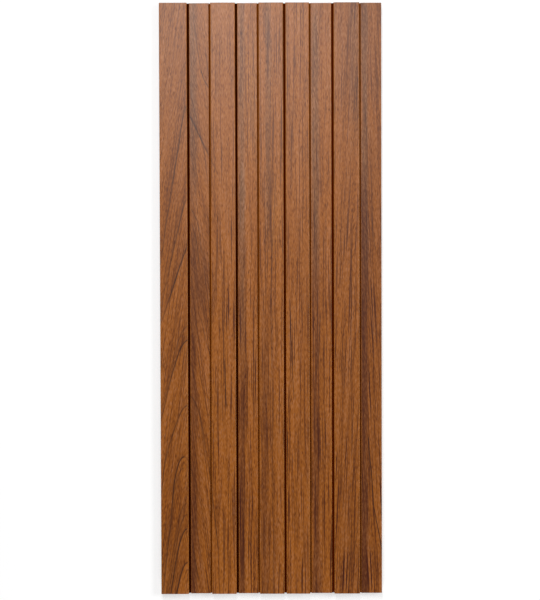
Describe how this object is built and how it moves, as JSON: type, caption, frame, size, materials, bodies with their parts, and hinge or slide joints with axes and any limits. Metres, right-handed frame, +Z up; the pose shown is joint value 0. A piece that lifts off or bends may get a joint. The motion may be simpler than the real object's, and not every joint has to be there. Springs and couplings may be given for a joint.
{
  "type": "composite wall panel",
  "caption": "Flat slatted wall panel of wood-plastic composite, with raised and sunk slats parted by narrow dark slots and a satin teak-look face, for gluing to a wall.",
  "frame": {"origin": "centre of the flat back face that the panel lies on", "axes": "X across the slats, Y along the slats, Z up out of the face"},
  "size_m": [0.225, 0.6, 0.012],
  "materials": {
    "teak_composite": "satin wood-grain face on brown wood-plastic composite"
  },
  "bodies": {
    "root": {"wall_panel": "teak_composite"}
  },
  "joints": []
}
